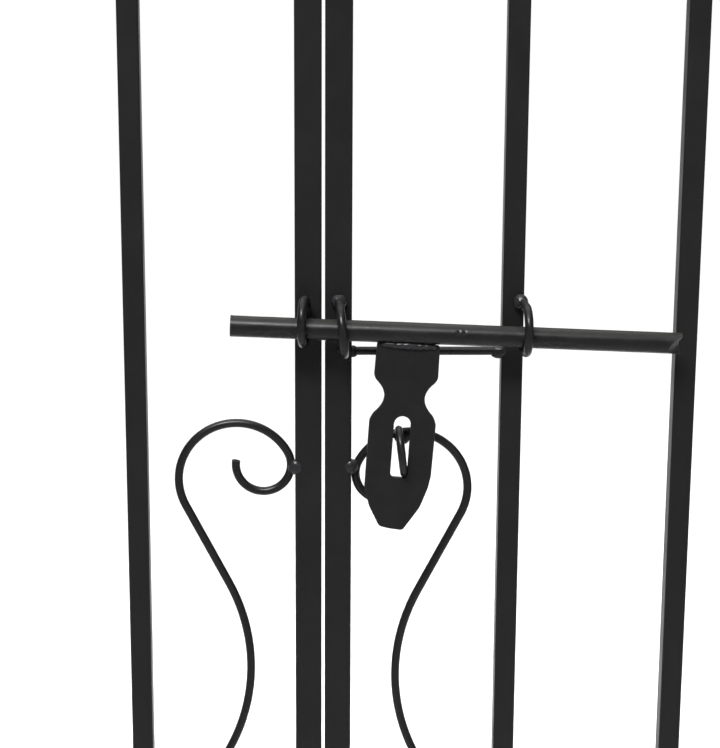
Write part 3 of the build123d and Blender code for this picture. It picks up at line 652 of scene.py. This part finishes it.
right_notch = arc((16.5, 26.9), (11.2, 36.3), (16.7, 46.2))
left_notch = [Vector((-p.x, p.y)) for p in reversed(right_notch)]
outline = [Vector((-17.3, 5.9)), Vector((17.3, 5.9)), Vector((17.7, 24.5))] + right_notch
tongue = ((18.5, 50), (18.1, 80), (17.0, 87), (13.2, 98.6), (4.6, 112.5), (-3.0, 112.0), (-8.8, 110.8),
          (-15.1, 99.6), (-18.5, 89), (-18.5, 50))
outline += [Vector(p) for p in tongue]
outline += left_notch + [Vector((-17.7, 24.5))]
outline = softened(outline, 1.6)
slot_half, slot_crown = 4.6, 51.5
slot_turns = [t / 16 * math.pi for t in range(17)]
slot_top = [Vector((slot_half * math.cos(a), slot_crown - slot_half * math.sin(a))) for a in slot_turns]
slot_foot = ((-slot_half, 80.2), (-3.9, 81.6), (-2.6, 82.0), (2.6, 82.0), (3.9, 81.6), (slot_half, 80.2))
slot_outline = slot_top + [Vector(p) for p in slot_foot]
plate_curve = bpy.data.curves.new("hasp_outline", "CURVE")
plate_curve.dimensions = "2D"
plate_curve.fill_mode = "BOTH"
plate_curve.extrude = 1.0 * mm
plate_curve.bevel_depth = 0.5 * mm
plate_curve.bevel_resolution = 3
plate_curve.offset = -0.5 * mm
for points in (outline, slot_outline):
    spline = plate_curve.splines.new("POLY")
    spline.points.add(len(points) - 1)
    for spline_point, p in zip(spline.points, points):
        spline_point.co = (p.x * mm, p.y * mm, 0, 1)
    spline.use_cyclic_u = True
scratch = bpy.data.objects.new("hasp_outline", plate_curve)
bpy.context.scene.collection.objects.link(scratch)
bpy.context.view_layer.update()
plate_mesh = bpy.data.meshes.new_from_object(scratch.evaluated_get(bpy.context.evaluated_depsgraph_get()))
bpy.data.objects.remove(scratch)
for vertex in plate_mesh.vertices:
    flat = vertex.co.copy()
    dish = 0.12 * mm * noise.noise(Vector((flat.x * 60, flat.y * 60, 1.0)))
    vertex.co = hasp_at + hasp_along * flat.x + hasp_down * flat.y + Y * (flat.z + dish)
plate_mesh.name = "hasp_leaf"
plate_mesh.materials.clear()
plate_mesh.materials.append(finish["powder_coat_latch"])
plate_mesh.shade_smooth()
plate_mesh.set_sharp_from_angle(angle=math.radians(35))
hasp_leaf = bpy.data.objects.new("hasp_leaf", plate_mesh)
bpy.context.scene.collection.objects.link(hasp_leaf)
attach(hasp_leaf, "hasp")
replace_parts(hasp_leaf, "hasp_plate")
print("hasp points:", len(plate_mesh.vertices))

# %% [markdown]
# The plate hangs from two fillets of weld, front and back, that run along the rod's underside.

# %% Hasp fillets
hasp_beads = Beads("hasp_fillets", "hasp", 71)
fillet_start, fillet_step = -15.6 * mm, 1.25 * mm
for face in (-1, 1):
    path = []
    for t in range(26):
        x = fillet_start + t * fillet_step
        drop = 6.9 * mm + 0.4 * mm * noise.noise(Vector((t * 0.35, face, 0)))
        path.append(hasp_at + hasp_along * x + hasp_down * drop + Y * face * 1.5 * mm)
    hasp_beads.run(path, 2.1 * mm, False, around=14)
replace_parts(hasp_beads.make(), "hasp_weld")

# %% [markdown]
# ## Stile caps
# A moulded cap closes each end of each stile: a plug inside, and a lid with a softly domed top and a thin
# parting line. Square rings that shrink and round off as they rise make the dome without any seam.

# %% Domed caps
def cap(name, x, base_z, up, body, replaced):
    """A lid 15 mm square on a stile's end; up is 1 for the top of a stile and -1 for its foot."""
    profile = [(7.5, 0.0, 1.4), (7.5, 0.5, 1.4), (7.38, 0.62, 1.4), (7.5, 0.74, 1.4), (7.45, 1.2, 1.6),
               (7.1, 1.62, 1.9), (6.2, 1.84, 2.2), (4.6, 1.94, 2.2), (2.4, 2.0, 1.6)]
    verts, faces = [], []
    for half, height, corner in profile:
        for quarter in range(4):
            sx, sy = ((1, 1), (-1, 1), (-1, -1), (1, -1))[quarter]
            for step in range(6):
                turn = math.radians(quarter * 90 + step * 18)
                px = sx * (half - corner) + corner * math.cos(turn)
                py = sy * (half - corner) + corner * math.sin(turn)
                verts.append((x + px * mm, gate_y + py * mm, base_z + up * height * mm))
    ring = 24
    for i in range(len(profile) - 1):
        for k in range(ring):
            n = (k + 1) % ring
            face = (i * ring + k, i * ring + n, (i + 1) * ring + n, (i + 1) * ring + k)
            faces.append(face if up > 0 else tuple(reversed(face)))
    last = (len(profile) - 1) * ring
    for first, flip in ((last, up < 0), (0, up > 0)):
        face = tuple(first + k for k in range(ring))
        faces.append(tuple(reversed(face)) if flip else face)
    mesh = bpy.data.meshes.new(name)
    mesh.from_pydata(verts, [], faces)
    mesh.shade_smooth()
    mesh.set_sharp_from_angle(angle=math.radians(60))
    mesh.materials.append(finish["cap_plastic"])
    piece = bpy.data.objects.new(name, mesh)
    bpy.context.scene.collection.objects.link(piece)
    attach(piece, body)
    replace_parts(piece, replaced)


for side, word in ((-1, "left"), (1, "right")):
    for stile_name, x in (("meeting", 8.4 * mm), ("hinge", 493.4 * mm)):
        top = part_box(f"{stile_name}_stile_{word}")[1].z
        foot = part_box(f"{stile_name}_stile_{word}")[0].z
        cap(f"cap_{stile_name}_{word}_top", side * x, top, 1, word + "_leaf", "stile_caps_" + word)
        cap(f"cap_{stile_name}_{word}_foot", side * x, foot, -1, word + "_leaf", "stile_caps_" + word)
print("caps made: 8")

# %% [markdown]
# ## Studio
# The piece stands on a plain pale floor that runs on out of sight. A wide soft sun stands for a ceiling of
# cloth: it lights the floor evenly to white. The world is dim as a light, so black paint stays black, and a
# softbox above the camera draws the long highlight on the rod.

# %% Floor
floor_mesh = bpy.data.meshes.new("floor")
reach = 60
corners = [(-reach, -reach, 0), (reach, -reach, 0), (reach, reach, 0), (-reach, reach, 0)]
floor_mesh.from_pydata(corners, [], [(0, 1, 2, 3)])
floor_material = bpy.data.materials.new("painted_floor")
floor_material.use_nodes = True
floor_tree = floor_material.node_tree
floor_place = add_node(floor_tree, "ShaderNodeTexCoord").outputs["Object"]
floor_noise = add_node(floor_tree, "ShaderNodeTexNoise", inputs={
    "Vector": floor_place, "Scale": 1.5, "Detail": 4.0})
floor_tone = add_node(floor_tree, "ShaderNodeMix", {"data_type": "RGBA"}, {
    0: floor_noise.outputs["Fac"], 6: linear("#f3f3f2"), 7: linear("#f7f7f6")})
floor_tree.links.new(floor_tone.outputs[2], floor_tree.nodes["Principled BSDF"].inputs["Base Color"])
floor_tree.nodes["Principled BSDF"].inputs["Roughness"].default_value = 0.85
floor_mesh.materials.append(floor_material)
floor = bpy.data.objects.new("floor", floor_mesh)
bpy.context.scene.collection.objects.link(floor)
print("floor:", 2 * reach, "m square")

# %% [markdown]
# Three lamps: the soft sun from above, the softbox over the camera, and a weaker one to the right, which
# lifts the right leaf a little. A cloth grid narrows both softboxes, here by their spread, so that they
# don't light the floor, which the paint would mirror. The world is white to the eye and dim grey as a light.

# %% Lights
def soft_light(name, kind, place, target, energy, **settings):
    """A lamp at a place, aimed at a target."""
    data = bpy.data.lights.new(name, kind)
    data.energy = energy
    for key, value in settings.items():
        setattr(data, key, value)
    lamp = bpy.data.objects.new(name, data)
    lamp.location = place
    lamp.rotation_mode = "QUATERNION"
    lamp.rotation_quaternion = (Vector(target) - Vector(place)).to_track_quat("-Z", "Y")
    lamp.visible_camera = False
    bpy.context.scene.collection.objects.link(lamp)


latch = (0.04, gate_y, 0.68)
grid = math.radians(60)
soft_light("cloth_ceiling", "SUN", (-0.5, 0.6, 4.0), (0, 0, 0), 3.4, angle=math.radians(80))
soft_light("softbox_above", "AREA", (-0.5, -1.7, 2.6), latch, 28, shape="RECTANGLE", size=1.3, size_y=0.5,
           spread=grid)
soft_light("softbox_right", "AREA", (1.8, -2.6, 1.3), latch, 2.0, shape="RECTANGLE", size=1.2, size_y=1.6,
           spread=grid)

world = bpy.data.worlds.new("studio")
world.use_nodes = True
bpy.context.scene.world = world
world_tree = world.node_tree
world_tree.nodes.clear()
seen = add_node(world_tree, "ShaderNodeBackground", inputs={"Color": linear("#ffffff"), "Strength": 1.0})
felt = add_node(world_tree, "ShaderNodeBackground", inputs={"Color": linear("#eef1f6"), "Strength": 0.10})
eye = add_node(world_tree, "ShaderNodeLightPath")
both = add_node(world_tree, "ShaderNodeMixShader", inputs={
    0: eye.outputs["Is Camera Ray"], 1: felt.outputs[0], 2: seen.outputs[0]})
add_node(world_tree, "ShaderNodeOutputWorld", inputs={"Surface": both.outputs[0]})
bpy.context.scene.view_settings.view_transform = "Standard"
print("lamps: 3")

# %% [markdown]
# ## Camera
# A long lens from just over the latch looks down at it a little. The frame sits slightly off the lens
# axis, which a small sideways shift gives without turning the camera.

# %% Camera
camera_data = bpy.data.cameras.new("camera")
camera_data.sensor_width = 36
camera_data.lens = 91.4
camera_data.shift_x = 0.056
camera = bpy.data.objects.new("camera", camera_data)
camera.location = (-0.0029, gate_y - 1.0412, 0.9065)
camera.rotation_euler = (math.radians(90 - 12.8), 0, 0)
bpy.context.scene.collection.objects.link(camera)
bpy.context.scene.camera = camera
print("camera:", tuple(round(v, 3) for v in camera.location))
